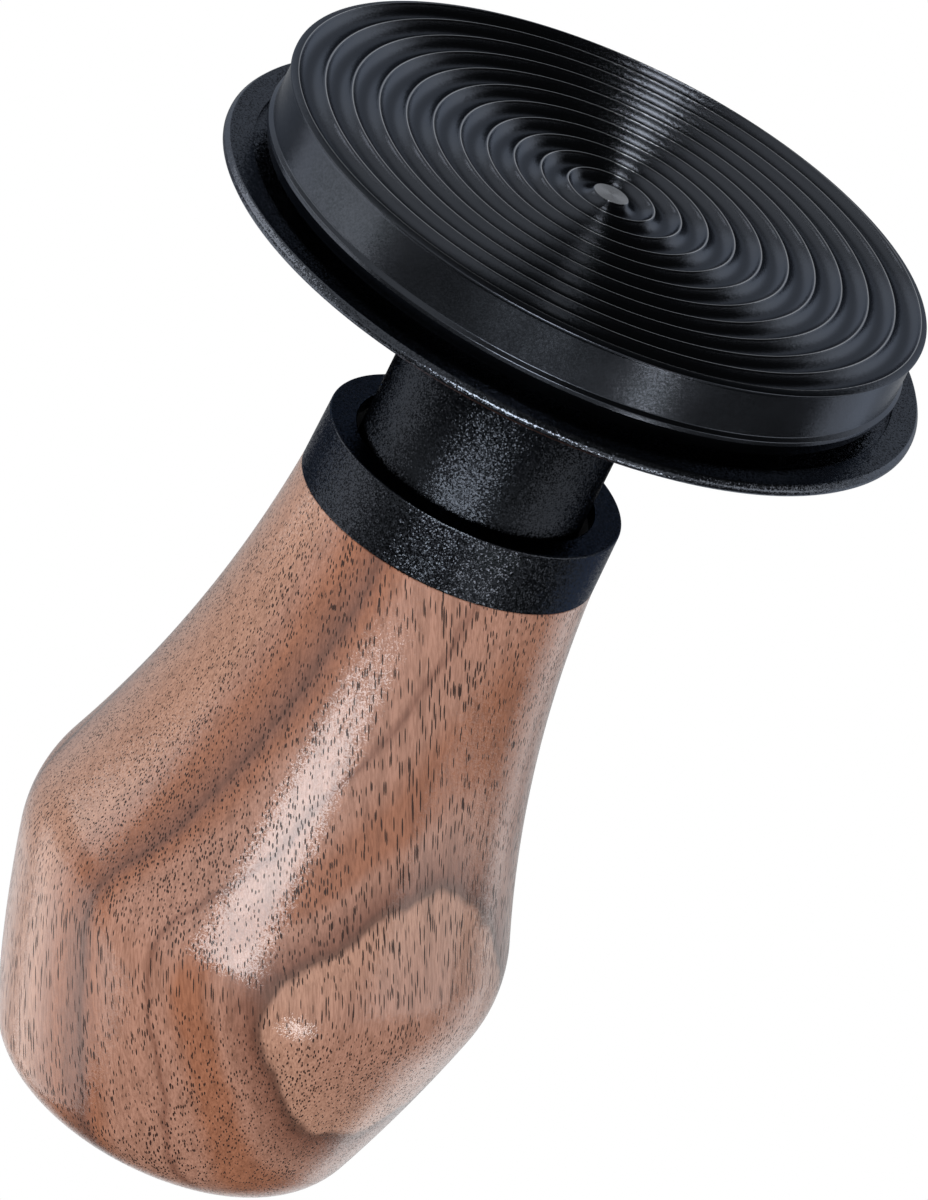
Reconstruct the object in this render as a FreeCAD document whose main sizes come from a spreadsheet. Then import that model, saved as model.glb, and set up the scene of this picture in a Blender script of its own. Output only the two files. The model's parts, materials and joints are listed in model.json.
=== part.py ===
import FreeCAD, Part
import math
import os
import Sketcher

# Self-levelling espresso tamper for a 58 mm filter basket.
#
# The frame: millimetres, +Z up, the origin at the centre of the rippled
# tamping face.  The tamper stands on that face with its handle up.
#
# Three groups of pieces move against each other along Z:
#   the base group   rippled base, centre shaft, both springs' fixed seats;
#   the plate group  levelling plate and neck sleeve, which rise along the
#                    shaft against the return spring as the plate meets the
#                    basket's rim;
#   the handle group collar, spring housing and wooden handle, which sink
#                    against the main spring until the set tamping force.

DIMENSIONS = {
    # rippled base
    "rim_radius": 29.175,        # Ø58.35, a close fit in a 58 mm basket
    "button_radius": 1.55,       # flat button at the face's centre
    "ripple_pitch": 2.462,       # from one crest to the next
    "ripple_land": 0.13,         # flat width left on each crest
    "ripple_depth": 0.72,
    "lip_start": 0.22,           # the rim's lower lip, its chamfer below it
    "lip_end": 0.45,
    "wall_radius": 28.88,        # relieved wall between lip and ridge
    "wall_start": 0.62,
    "wall_end": 4.35,
    "ridge_start": 4.95,
    "ridge_end": 5.3,
    "back_radius": 28.6,
    "base_back": 6.55,
    "bumper_radius": 21.0,       # middle of the silicone bumper ring
    "bumper_width": 2.5,
    "bumper_groove": 0.45,
    "bumper_chamfer": 0.6,
    # fits
    "slip_gap": 0.03,            # radial gap between pieces of one group
    "running_gap": 0.05,         # radial gap between sliding pieces
    "flange_gap": 0.2,           # round a flange or washer in a bore
    # centre shaft
    "thread_radius": 3.0,
    "thread_floor": 2.2,
    "shaft_radius": 4.0,
    "shaft_shoulder": 7.35,
    "shaft_step": 60.0,          # the shoulder that carries the main spring
    "spigot_radius": 3.2,
    "shaft_top": 78.0,
    "key_radius": 0.75,
    "key_floor": 2.8,            # the keyway's floor, from the axis
    "key_gap": 0.15,             # between that floor and the pin's end
    "key_reach": 0.3,            # keyway beyond the pin at each limit
    "sleeve_key_height": 11.9,
    "handle_key_height": 57.5,
    # travels
    "plate_travel": 12.0,
    "handle_travel": 5.0,
    # levelling plate
    "plate_radius": 31.9,
    "plate_under": 7.5,
    "plate_top": 8.62,
    "plate_recess": 29.4,        # radius of the recess that takes the base
    "recess_floor": 8.1,
    "hub_radius": 27.6,
    "hub_top": 9.7,
    "shelf_taper": 0.3,          # how far the hub's slope starts inside it
    "edge_chamfer": 0.3,
    # neck sleeve and its fastening
    "neck_radius": 10.3,
    "neck_bore": 8.2,
    "neck_top": 38.0,
    "neck_floor": 14.0,
    "bush_radius": 5.0,
    "bush_flange": 1.0,
    "bush_start": 0.4,           # its lower end, above the recess floor
    "screw_circle": 7.6,
    "screw_radius": 1.25,
    "screw_head": 2.25,
    "screw_head_depth": 1.2,
    "screw_socket": 0.8,         # share of the shank's radius, head's depth
    "screw_end": 13.2,
    "drill_point": 0.3,          # tapped hole beyond the screw's end
    # return spring and what holds it
    "return_coil": 6.2,
    "return_wire": 0.45,
    "return_turns": 11.0,
    "washer_under": 48.0,
    "washer_radius": 7.8,
    "washer_thickness": 1.0,
    "circlip_thickness": 0.7,
    "circlip_root": 3.5,
    "circlip_radius": 5.2,
    # collar
    "collar_under": 27.8,
    "collar_top": 33.65,
    "collar_radius": 13.48,
    "collar_hole": 10.98,
    "collar_step": 29.2,
    "collar_edge": 0.1,          # bevel where the collar meets the wood
    "wiper_top": 30.0,
    "guide_top": 31.6,
    # spring housing
    "housing_radius": 11.5,
    "housing_bore": 10.7,
    "web_under": 56.0,
    "web_top": 59.1,
    "web_bush": 5.5,
    "housing_top": 89.0,
    # main spring and its seats
    "seat_radius": 10.2,
    "seat_thickness": 1.5,
    "seat_pilot": 5.9,
    "pilot_height": 1.0,         # centres the main spring on its seat
    "stop_radius": 7.5,
    "main_coil": 7.6,
    "main_wire": 1.1,
    "main_turns": 6.0,
    "cap_under": 84.0,
    "cap_boss": 5.2,
    "cap_boss_end": 74.0,
    "cap_bore_end": 86.0,
    "top_washer": 0.8,
    # wooden handle
    "foot_radius": 13.58,        # where the wood meets the collar
    "flank_radius": 116.0,       # hollow flank, foot to shoulder
    "shoulder_low": 21.04,
    "shoulder_low_height": 68.0,
    "shoulder_arc": 12.5,
    "shoulder_high": 21.54,
    "shoulder_high_height": 75.3,
    "crown_arc": 147.0,          # long round side above the shoulder
    "crown_radius": 16.84,
    "crown_height": 91.3,
    "end_arc": 6.85,
    "end_radius": 10.4,
    "handle_end": 95.85,
    "wood_bore_top": 89.1,
    "insert_radius": 3.2,
    "insert_top": 94.0,
    "retainer_radius": 1.75,
    "retainer_head": 2.9,
    "retainer_head_under": 84.2,
    "retainer_top": 93.4,
}

RIPPLE_COUNT = 11
SCREW_COUNT = 3
SCREW_START_DEGREES = 90.0
CIRCLIP_DEGREES = 310.0
EDGE_BREAK = 0.25
OVERRUN = 0.5                    # how far a cutter passes a surface

doc = FreeCAD.newDocument("tamper")
sheet = doc.addObject("Spreadsheet::Sheet", "Dimensions")
for row, (alias, value) in enumerate(DIMENSIONS.items(), start=1):
    sheet.set(f"A{row}", alias)
    sheet.set(f"B{row}", str(value))
    sheet.setAlias(f"B{row}", alias)
doc.recompute()


class Size:
    """A length that knows its value and the sheet expression behind it."""

    def __init__(self, text, value):
        self.text = text
        self.value = value

    def join(self, sign, other, value):
        other_text = other.text if isinstance(other, Size) else str(other)
        return Size(f"({self.text} {sign} {other_text})", value)

    def __add__(self, other):
        return self.join("+", other, self.value + number(other))

    def __sub__(self, other):
        return self.join("-", other, self.value - number(other))

    def __mul__(self, other):
        return self.join("*", other, self.value * number(other))

    def __truediv__(self, other):
        return self.join("/", other, self.value / number(other))


def number(size):
    return size.value if isinstance(size, Size) else float(size)


def dim(alias):
    """A driving dimension, by its alias in the sheet."""
    return Size(f"Dimensions.{alias}", DIMENSIONS[alias])


def bind(item, path, size):
    """Drive a property from the sheet; a plain number is left as it is."""
    if isinstance(size, Size):
        item.setExpression(path, size.text)


# ---------------------------------------------------------------- sketching

def origin_item(body, role):
    return next(item for item in body.Origin.OriginFeatures if item.Role == role)


def new_body(label):
    body = doc.addObject("PartDesign::Body", label)
    body.Label = label
    return body


def new_sketch(body, name):
    """An empty sketch on the body's XZ plane: across is X, up is Z."""
    sketch = body.newObject("Sketcher::SketchObject", name)
    sketch.AttachmentSupport = [(origin_item(body, "XZ_Plane"), "")]
    sketch.MapMode = "FlatFace"
    return sketch


def arc_between(start, end, radius, turn):
    """The short arc from start to end; turn +1 bends left, -1 bends right."""
    chord = end - start
    left = FreeCAD.Vector(-chord.y, chord.x, 0).normalize()
    reach = math.sqrt(radius ** 2 - (chord.Length / 2) ** 2)
    centre = (start + end) / 2 + left * reach * turn
    first, last = (start, end) if turn > 0 else (end, start)
    angles = [math.atan2(p.y - centre.y, p.x - centre.x) for p in (first, last)]
    if angles[1] < angles[0]:
        angles[1] += 2 * math.pi
    return Part.ArcOfCircle(Part.Circle(centre, FreeCAD.Vector(0, 0, 1), radius), *angles)


def pin_point(sketch, edge, end, across, up):
    """Hold one end of an edge at a distance across and up from the origin."""
    for kind, axis, size in (("DistanceX", -2, across), ("DistanceY", -1, up)):
        if not isinstance(size, Size) and size == 0:
            sketch.addConstraint(Sketcher.Constraint("PointOnObject", edge, end, axis))
            continue
        index = sketch.addConstraint(
            Sketcher.Constraint(kind, -1, 1, edge, end, number(size)))
        bind(sketch, f"Constraints[{index}]", size)


def draw_loop(sketch, points):
    """Draw a closed outline.

    A point is (across, up), or (across, up, radius, turn) where the edge
    that leaves it is an arc.
    """
    places = [FreeCAD.Vector(number(p[0]), number(p[1]), 0) for p in points]
    edges = []
    for here, point in enumerate(points):
        start, end = places[here], places[(here + 1) % len(points)]
        if len(point) == 2:
            edge = sketch.addGeometry(Part.LineSegment(start, end), False)
            edges.append((edge, 1, 2))
            continue
        radius, turn = point[2], point[3]
        edge = sketch.addGeometry(arc_between(start, end, number(radius), turn), False)
        edges.append((edge, 1, 2) if turn > 0 else (edge, 2, 1))
        index = sketch.addConstraint(Sketcher.Constraint("Radius", edge, number(radius)))
        bind(sketch, f"Constraints[{index}]", radius)
    for here, (edge, first, last) in enumerate(edges):
        following = edges[(here + 1) % len(edges)]
        sketch.addConstraint(
            Sketcher.Constraint("Coincident", edge, last, following[0], following[1]))
    for (edge, first, last), point in zip(edges, points):
        pin_point(sketch, edge, first, point[0], point[1])


# ----------------------------------------------------------------- features

cuts = []


def turned(label, points, degrees=360.0):
    """A body turned about Z from one outline of (radius, height) points."""
    body = new_body(label)
    sketch = new_sketch(body, label + "_outline")
    draw_loop(sketch, points)
    turning = body.newObject("PartDesign::Revolution", label + "_turning")
    turning.Profile = sketch
    turning.ReferenceAxis = (sketch, ["V_Axis"])
    turning.Angle = degrees
    sketch.Visibility = False
    doc.recompute()
    return body


def ring(label, inner, outer, bottom, top, degrees=360.0):
    """A plain turned ring."""
    outline = [(inner, bottom), (outer, bottom), (outer, top), (inner, top)]
    return turned(label, outline, degrees)


def soft_ring(label, inner, outer, bottom, top, break_size=EDGE_BREAK):
    """A turned ring whose two outer corners are chamfered."""
    outline = [
        (inner, bottom),
        (outer - break_size, bottom),
        (outer, bottom + break_size),
        (outer, top - break_size),
        (outer - break_size, top),
        (inner, top),
    ]
    return turned(label, outline)


def subtract(body, kind, name, sizes, base, rotation=FreeCAD.Rotation()):
    """Cut a primitive out of a body, with its sizes and place bound."""
    before = body.Tip
    tool = body.newObject("PartDesign::Subtractive" + kind, name)
    for prop, size in sizes.items():
        setattr(tool, prop, number(size))
        bind(tool, prop, size)
    tool.Placement = FreeCAD.Placement(FreeCAD.Vector(*map(number, base)), rotation)
    for axis, size in zip("xyz", base):
        bind(tool, f"Placement.Base.{axis}", size)
    doc.recompute()
    cuts.append((tool, before))
    return tool


def repeat_round(body, name, features):
    """Repeat features about Z, once for each plate screw."""
    before = body.Tip
    pattern = body.newObject("PartDesign::PolarPattern", name)
    pattern.Originals = features
    pattern.Axis = (origin_item(body, "Z_Axis"), [""])
    pattern.Angle = 360.0
    pattern.Occurrences = SCREW_COUNT
    body.Tip = pattern
    doc.recompute()
    cuts.append((pattern, before))


ALONG_X = FreeCAD.Rotation(FreeCAD.Vector(0, 1, 0), 90)


def key_hole(body, name, start, end, height):
    """A radial hole for a key pin, from one distance to another along +X."""
    sizes = {"Radius": dim("key_radius") + dim("slip_gap"), "Height": end - start}
    subtract(body, "Cylinder", name, sizes, (start, 0, height), ALONG_X)


def key_pin(label, end, height):
    """A round pin along +X whose inner end runs in a keyway of the shaft."""
    pin = doc.addObject("Part::Cylinder", label)
    pin.Label = label
    start = dim("key_floor") + dim("key_gap")
    pin.Placement = FreeCAD.Placement(
        FreeCAD.Vector(start.value, 0, height.value), ALONG_X)
    bind(pin, "Radius", dim("key_radius"))
    bind(pin, "Height", end - start)
    bind(pin, "Placement.Base.x", start)
    bind(pin, "Placement.Base.z", height)
    return pin


def coil_spring(label, coil, wire, turns, bottom, top):
    """A round-wire spring between two seats."""
    helix = doc.addObject("Part::Helix", label + "_path")
    rise = top - bottom - wire * 2
    bind(helix, "Radius", coil)
    bind(helix, "Height", rise)
    bind(helix, "Pitch", rise / turns)
    section = doc.addObject("Part::Circle", label + "_section")
    bind(section, "Radius", wire)
    section.Placement = FreeCAD.Placement(
        FreeCAD.Vector(coil.value, 0, 0), FreeCAD.Rotation(FreeCAD.Vector(1, 0, 0), 90))
    bind(section, "Placement.Base.x", coil)
    spring = doc.addObject("Part::Sweep", label)
    spring.Label = label
    spring.Sections = [section]
    spring.Spine = helix
    spring.Solid = True
    spring.Frenet = True
    start = bottom + wire
    spring.Placement = FreeCAD.Placement(
        FreeCAD.Vector(0, 0, start.value), FreeCAD.Rotation())
    bind(spring, "Placement.Base.z", start)
    return spring


# --------------------------------------------------------------- base group

def ripple_base():
    """The rippled tamping disc with its lip, relieved wall and ridge."""
    rim, back = dim("rim_radius"), dim("base_back")
    half_bumper = dim("bumper_width") / 2
    groove_floor = back - dim("bumper_groove")
    last_crest = (dim("button_radius") + dim("ripple_pitch") * RIPPLE_COUNT
                  + dim("ripple_land"))
    body = turned("ripple_base", [
        (0, 0),
        (last_crest, 0),
        (rim, dim("lip_start")),
        (rim, dim("lip_end")),
        (dim("wall_radius"), dim("wall_start")),
        (dim("wall_radius"), dim("wall_end")),
        (rim, dim("ridge_start")),
        (rim, dim("ridge_end")),
        (dim("back_radius"), back),
        (dim("bumper_radius") + half_bumper, back),
        (dim("bumper_radius") + half_bumper, groove_floor),
        (dim("bumper_radius") - half_bumper, groove_floor),
        (dim("bumper_radius") - half_bumper, back),
        (dim("thread_radius"), back),
        (dim("thread_radius"), dim("thread_floor")),
        (0, dim("thread_floor")),
    ])
    sketch = new_sketch(body, "ripples")
    chord = dim("ripple_pitch") - dim("ripple_land")
    depth = dim("ripple_depth")
    arc_radius = chord * chord / (depth * 8) + depth / 2
    for ripple in range(RIPPLE_COUNT):
        inner = dim("button_radius") + dim("ripple_pitch") * ripple
        draw_loop(sketch, [(inner, 0), (inner + chord, 0, arc_radius, 1)])
    before = body.Tip
    groove = body.newObject("PartDesign::Groove", "ripple_grooves")
    groove.Profile = sketch
    groove.ReferenceAxis = (sketch, ["V_Axis"])
    groove.Angle = 360.0
    body.Tip = groove
    sketch.Visibility = False
    doc.recompute()
    cuts.append((groove, before))
    return body


def centre_shaft():
    """The shaft: threaded foot, circlip groove, spring shoulder, keyways."""
    foot = dim("thread_radius") - dim("slip_gap")
    circlip_start = dim("washer_under") + dim("washer_thickness")
    circlip_end = circlip_start + dim("circlip_thickness") + dim("running_gap") * 2
    body = turned("centre_shaft", [
        (0, dim("thread_floor") + EDGE_BREAK),
        (foot, dim("thread_floor") + EDGE_BREAK),
        (foot, dim("shaft_shoulder")),
        (dim("shaft_radius"), dim("shaft_shoulder")),
        (dim("shaft_radius"), circlip_start),
        (dim("circlip_root"), circlip_start),
        (dim("circlip_root"), circlip_end),
        (dim("shaft_radius"), circlip_end),
        (dim("shaft_radius"), dim("shaft_step")),
        (dim("spigot_radius"), dim("shaft_step")),
        (dim("spigot_radius"), dim("shaft_top") - EDGE_BREAK),
        (dim("spigot_radius") - EDGE_BREAK, dim("shaft_top")),
        (0, dim("shaft_top")),
    ])
    half_width = dim("key_radius") + dim("running_gap")
    reach = half_width + dim("key_reach")
    keyways = (
        ("sleeve_keyway", dim("sleeve_key_height"), dim("plate_travel")),
        ("handle_keyway", dim("handle_key_height") - dim("handle_travel"),
         dim("handle_travel")),
    )
    for name, low, travel in keyways:
        sizes = {
            "Length": dim("shaft_radius"),
            "Width": half_width * 2,
            "Height": travel + reach * 2,
        }
        base = (dim("key_floor"), half_width * -1, low - reach)
        subtract(body, "Box", name, sizes, base)
    return body


def base_group():
    ripple_base()
    centre_shaft()
    back, shaft = dim("base_back"), dim("shaft_radius")
    ring("base_shim", dim("thread_radius") + dim("slip_gap"), dim("stop_radius"),
         back, dim("shaft_shoulder"))
    bumper_half = dim("bumper_width") / 2 - dim("slip_gap")
    inner = dim("bumper_radius") - bumper_half
    outer = dim("bumper_radius") + bumper_half
    crown = dim("recess_floor") - dim("running_gap")
    chamfer = dim("bumper_chamfer")
    turned("bumper_ring", [
        (inner, back - dim("bumper_groove")),
        (outer, back - dim("bumper_groove")),
        (outer, crown - chamfer),
        (outer - chamfer, crown),
        (inner + chamfer, crown),
        (inner, crown - chamfer),
    ])
    washer, over = dim("washer_under"), dim("washer_thickness")
    bore = shaft + dim("slip_gap")
    soft_ring("return_washer", bore, dim("washer_radius"), washer, washer + over)
    clip = washer + over + dim("running_gap")
    ring("circlip", dim("circlip_root") + dim("slip_gap"), dim("circlip_radius"),
         clip, clip + dim("circlip_thickness"), CIRCLIP_DEGREES)
    coil_spring("return_spring", dim("return_coil"), dim("return_wire"),
                dim("return_turns"), dim("neck_floor") + dim("bush_flange"), washer)
    step = dim("shaft_step")
    soft_ring("stop_washer", bore, dim("stop_radius"),
              dim("web_top") + dim("running_gap"), step)
    seat_top = step + dim("seat_thickness")
    pilot_top = seat_top + dim("pilot_height")
    turned("main_spring_seat", [
        (dim("spigot_radius") + dim("slip_gap"), step),
        (dim("seat_radius") - EDGE_BREAK, step),
        (dim("seat_radius"), step + EDGE_BREAK),
        (dim("seat_radius"), seat_top),
        (dim("seat_pilot"), seat_top),
        (dim("seat_pilot") - EDGE_BREAK, pilot_top),
        (dim("spigot_radius") + dim("slip_gap"), pilot_top),
    ])
    coil_spring("main_spring", dim("main_coil"), dim("main_wire"), dim("main_turns"),
                seat_top, dim("cap_under") - dim("top_washer"))


# -------------------------------------------------------------- plate group

def screw_places():
    for index in range(SCREW_COUNT):
        yield math.radians(SCREW_START_DEGREES + index * 360.0 / SCREW_COUNT)


def levelling_plate():
    """The disc that rests on the basket's rim and sets the tamper level."""
    edge, chamfer = dim("plate_radius"), dim("edge_chamfer")
    under, top = dim("plate_under"), dim("plate_top")
    bore = dim("bush_radius") + dim("slip_gap")
    body = turned("levelling_plate", [
        (bore, dim("recess_floor")),
        (dim("plate_recess"), dim("recess_floor")),
        (dim("plate_recess"), under),
        (edge - chamfer, under),
        (edge, under + chamfer * 1.5),
        (edge, top - chamfer),
        (edge - chamfer, top),
        (dim("plate_recess") - dim("shelf_taper"), top),
        (dim("hub_radius"), dim("hub_top")),
        (bore, dim("hub_top")),
    ])
    floor = dim("recess_floor")
    head = dim("screw_head") + dim("slip_gap")
    shank = dim("screw_radius") + dim("slip_gap")
    circle = dim("screw_circle")
    sink = subtract(body, "Cone", "countersink",
                    {"Radius1": head, "Radius2": shank, "Height": dim("screw_head_depth")},
                    (0, circle, floor))
    hole = subtract(body, "Cylinder", "screw_hole",
                    {"Radius": shank, "Height": dim("hub_top") - floor + OVERRUN},
                    (0, circle, floor))
    repeat_round(body, "screw_holes", [sink, hole])


def neck_sleeve():
    """The round neck: thick foot for the screws, thin wall around the spring."""
    outer, inner = dim("neck_radius"), dim("neck_bore")
    foot, top = dim("hub_top"), dim("neck_top")
    bore = dim("bush_radius") + dim("slip_gap")
    body = turned("neck_sleeve", [
        (bore, foot),
        (outer, foot),
        (outer, top - EDGE_BREAK),
        (outer - EDGE_BREAK, top),
        (inner, top),
        (inner, dim("neck_floor")),
        (bore, dim("neck_floor")),
    ])
    hole = subtract(body, "Cylinder", "tapped_hole",
                    {"Radius": dim("screw_radius") + dim("slip_gap"),
                     "Height": dim("screw_end") - foot + dim("drill_point")},
                    (0, dim("screw_circle"), foot))
    repeat_round(body, "tapped_holes", [hole])
    key_hole(body, "sleeve_key_hole", dim("shaft_radius"), outer + OVERRUN,
             dim("sleeve_key_height"))


def plate_screw(index, angle):
    """One countersunk screw with a hexagon socket."""
    floor, depth = dim("recess_floor"), dim("screw_head_depth")
    across = dim("screw_circle") * math.cos(angle)
    along = dim("screw_circle") * math.sin(angle)
    head = doc.addObject("Part::Cone", f"screw_head_{index}")
    bind(head, "Radius1", dim("screw_head"))
    bind(head, "Radius2", dim("screw_radius"))
    bind(head, "Height", depth)
    shank = doc.addObject("Part::Cylinder", f"screw_shank_{index}")
    bind(shank, "Radius", dim("screw_radius"))
    bind(shank, "Height", dim("screw_end") - floor)
    socket = doc.addObject("Part::Prism", f"screw_socket_{index}")
    socket.Polygon = 6
    bind(socket, "Circumradius", dim("screw_radius") * dim("screw_socket"))
    bind(socket, "Height", depth * dim("screw_socket"))
    for item in (head, shank, socket):
        for axis, size in zip("xyz", (across, along, floor)):
            bind(item, f"Placement.Base.{axis}", size)
    screw = doc.addObject("Part::Fuse", f"screw_blank_{index}")
    screw.Base, screw.Tool = head, shank
    finished = doc.addObject("Part::Cut", f"screw_{index}")
    finished.Base, finished.Tool = screw, socket
    return finished


def plate_group():
    levelling_plate()
    neck_sleeve()
    flange_top = dim("neck_floor") + dim("bush_flange")
    flange = dim("neck_bore") - dim("flange_gap")
    start = dim("recess_floor") + dim("bush_start")
    bush_bore = dim("shaft_radius") + dim("running_gap")
    body = turned("guide_bush", [
        (bush_bore, start),
        (dim("bush_radius"), start),
        (dim("bush_radius"), dim("neck_floor")),
        (flange, dim("neck_floor")),
        (flange, flange_top),
        (bush_bore, flange_top),
    ])
    key_hole(body, "bush_key_hole", dim("shaft_radius") - OVERRUN,
             dim("bush_radius") + OVERRUN, dim("sleeve_key_height"))
    screws = doc.addObject("Part::Compound", "plate_screws")
    screws.Label = "plate_screws"
    screws.Links = [plate_screw(i, angle) for i, angle in enumerate(screw_places())]
    key_pin("sleeve_key_pin", dim("neck_radius") - dim("running_gap"),
            dim("sleeve_key_height"))


# ------------------------------------------------------------- handle group

def collar():
    """The black ring under the wood, with the neck's clearance hole."""
    radius, under, top = dim("collar_radius"), dim("collar_under"), dim("collar_top")
    thread = dim("housing_radius") + dim("slip_gap")
    edge = dim("collar_edge")
    return turned("collar", [
        (dim("collar_hole") + EDGE_BREAK, under),
        (radius - EDGE_BREAK, under),
        (radius, under + EDGE_BREAK),
        (dim("foot_radius"), top - edge),
        (dim("foot_radius") - edge, top),
        (thread, top),
        (thread, dim("collar_step")),
        (dim("collar_hole"), dim("collar_step")),
        (dim("collar_hole"), under + EDGE_BREAK),
    ])


def spring_housing():
    """The tube inside the wood, with the web that stops under the spring seat."""
    outer, inner = dim("housing_radius"), dim("housing_bore")
    bottom, top = dim("guide_top"), dim("housing_top")
    bush = dim("web_bush") + dim("slip_gap")
    # the web joins the tube half way up, so the tube is two bores about it
    body = turned("spring_housing", [
        (inner, bottom),
        (outer, bottom),
        (outer, top),
        (inner, top),
        (inner, dim("web_top")),
        (bush, dim("web_top")),
        (bush, dim("web_under")),
        (inner, dim("web_under")),
    ])
    key_hole(body, "housing_key_hole", dim("shaft_radius"), outer + OVERRUN,
             dim("handle_key_height"))
    return body


def preload_cap():
    """The cap that presses on the main spring and guides the shaft's end."""
    outer = dim("housing_bore") - dim("slip_gap")
    guide = dim("spigot_radius") + dim("running_gap")
    hole = dim("retainer_radius") + dim("slip_gap")
    return turned("preload_cap", [
        (guide, dim("cap_boss_end")),
        (dim("cap_boss") - EDGE_BREAK, dim("cap_boss_end")),
        (dim("cap_boss"), dim("cap_boss_end") + EDGE_BREAK),
        (dim("cap_boss"), dim("cap_under")),
        (outer, dim("cap_under")),
        (outer, dim("housing_top")),
        (hole, dim("housing_top")),
        (hole, dim("cap_bore_end")),
        (guide, dim("cap_bore_end")),
    ])


def wood_handle():
    """The turned walnut handle, hollow flank below and round end above."""
    bore = dim("housing_radius") + dim("slip_gap")
    insert = dim("insert_radius") + dim("slip_gap")
    return turned("wood_handle", [
        (bore, dim("collar_top")),
        (dim("foot_radius"), dim("collar_top"), dim("flank_radius"), -1),
        (dim("shoulder_low"), dim("shoulder_low_height"), dim("shoulder_arc"), 1),
        (dim("shoulder_high"), dim("shoulder_high_height"), dim("crown_arc"), 1),
        (dim("crown_radius"), dim("crown_height"), dim("end_arc"), 1),
        (dim("end_radius"), dim("handle_end")),
        (0, dim("handle_end")),
        (0, dim("insert_top")),
        (insert, dim("insert_top")),
        (insert, dim("wood_bore_top")),
        (bore, dim("wood_bore_top")),
    ])


def handle_group():
    collar()
    seal_bore = dim("neck_radius") + dim("running_gap")
    ring("wiper_ring", seal_bore, dim("housing_radius"), dim("collar_step"),
         dim("wiper_top"))
    ring("neck_guide_ring", seal_bore, dim("housing_radius"), dim("wiper_top"),
         dim("guide_top"))
    spring_housing()
    bush = ring("handle_bush", dim("shaft_radius") + dim("running_gap"),
                dim("web_bush"), dim("web_under"), dim("web_top"))
    key_hole(bush, "handle_bush_key_hole", dim("shaft_radius") - OVERRUN,
             dim("web_bush") + OVERRUN, dim("handle_key_height"))
    key_pin("handle_key_pin", dim("housing_radius") - dim("running_gap"),
            dim("handle_key_height"))
    ring("spring_top_washer", dim("cap_boss") + dim("slip_gap") * 2,
         dim("housing_bore") - dim("flange_gap") * 2,
         dim("cap_under") - dim("top_washer"), dim("cap_under"))
    preload_cap()
    turned("retaining_screw", [
        (0, dim("retainer_head_under")),
        (dim("retainer_head"), dim("retainer_head_under")),
        (dim("retainer_head"), dim("cap_bore_end")),
        (dim("retainer_radius"), dim("cap_bore_end")),
        (dim("retainer_radius"), dim("retainer_top")),
        (0, dim("retainer_top")),
    ])
    ring("thread_insert", dim("retainer_radius") + dim("slip_gap"),
         dim("insert_radius"), dim("wood_bore_top"), dim("insert_top"))
    wood_handle()


NODES = (
    "ripple_base", "centre_shaft", "base_shim", "bumper_ring", "return_washer",
    "circlip", "return_spring", "stop_washer", "main_spring_seat", "main_spring",
    "levelling_plate", "neck_sleeve", "guide_bush", "plate_screws", "sleeve_key_pin",
    "collar", "wiper_ring", "neck_guide_ring", "spring_housing", "handle_bush",
    "handle_key_pin", "spring_top_washer", "preload_cap", "retaining_screw",
    "thread_insert", "wood_handle",
)

base_group()
plate_group()
handle_group()
doc.recompute()


# ----------------------------------------------------------- check and write

for item in doc.Objects:
    if "Invalid" in item.State or "Error" in item.State:
        raise RuntimeError(f"{item.Label} failed: {item.State}")
for feature, before in cuts:
    if feature.Shape.Volume >= before.Shape.Volume - 1e-3:
        raise RuntimeError(f"{feature.Label} cuts nothing")

os.makedirs("parts", exist_ok=True)
for node in NODES:
    shape = doc.getObject(node).Shape
    if shape.isNull() or not shape.isValid():
        raise RuntimeError(f"{node} has no valid shape")
    shape.exportStep(f"parts/{node}.step")
    box = shape.BoundBox
    print(f"{node:18s} solids {len(shape.Solids)} volume {shape.Volume:9.1f} mm3"
          f"  z {box.ZMin:7.3f} to {box.ZMax:7.3f}  radius {box.XMax:6.3f}")
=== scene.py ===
import json
import math
import bpy
from mathutils import Matrix, Vector


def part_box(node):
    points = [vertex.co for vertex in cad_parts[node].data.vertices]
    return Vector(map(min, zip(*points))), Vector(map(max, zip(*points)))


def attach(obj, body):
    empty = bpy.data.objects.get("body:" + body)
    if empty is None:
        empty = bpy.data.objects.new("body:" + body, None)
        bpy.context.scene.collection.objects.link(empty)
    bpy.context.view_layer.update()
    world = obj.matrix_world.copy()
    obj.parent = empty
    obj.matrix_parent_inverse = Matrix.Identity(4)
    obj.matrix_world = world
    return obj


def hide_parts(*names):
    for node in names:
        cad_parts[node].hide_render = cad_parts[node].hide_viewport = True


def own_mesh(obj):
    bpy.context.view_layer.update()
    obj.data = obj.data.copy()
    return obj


# Looks for the self-levelling espresso tamper.  Nearly every piece is turned
# about the frame's Z axis, so most of this file is outlines of (radius, height)
# in mm, and the materials that go on them.

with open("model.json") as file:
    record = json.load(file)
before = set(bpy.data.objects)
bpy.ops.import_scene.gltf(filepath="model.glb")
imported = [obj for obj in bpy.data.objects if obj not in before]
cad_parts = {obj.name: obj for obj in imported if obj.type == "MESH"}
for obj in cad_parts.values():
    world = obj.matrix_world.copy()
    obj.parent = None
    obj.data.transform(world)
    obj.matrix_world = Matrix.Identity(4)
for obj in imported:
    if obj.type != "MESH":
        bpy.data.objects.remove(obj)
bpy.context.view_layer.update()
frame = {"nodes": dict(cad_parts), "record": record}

MM = 0.001


def box_mm(node):
    """(outer radius, lowest height, highest height) of a round node, in mm."""
    low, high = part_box(node)
    return high.x / MM, low.z / MM, high.z / MM


# ------------------------------------------------------------------ camera

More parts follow.
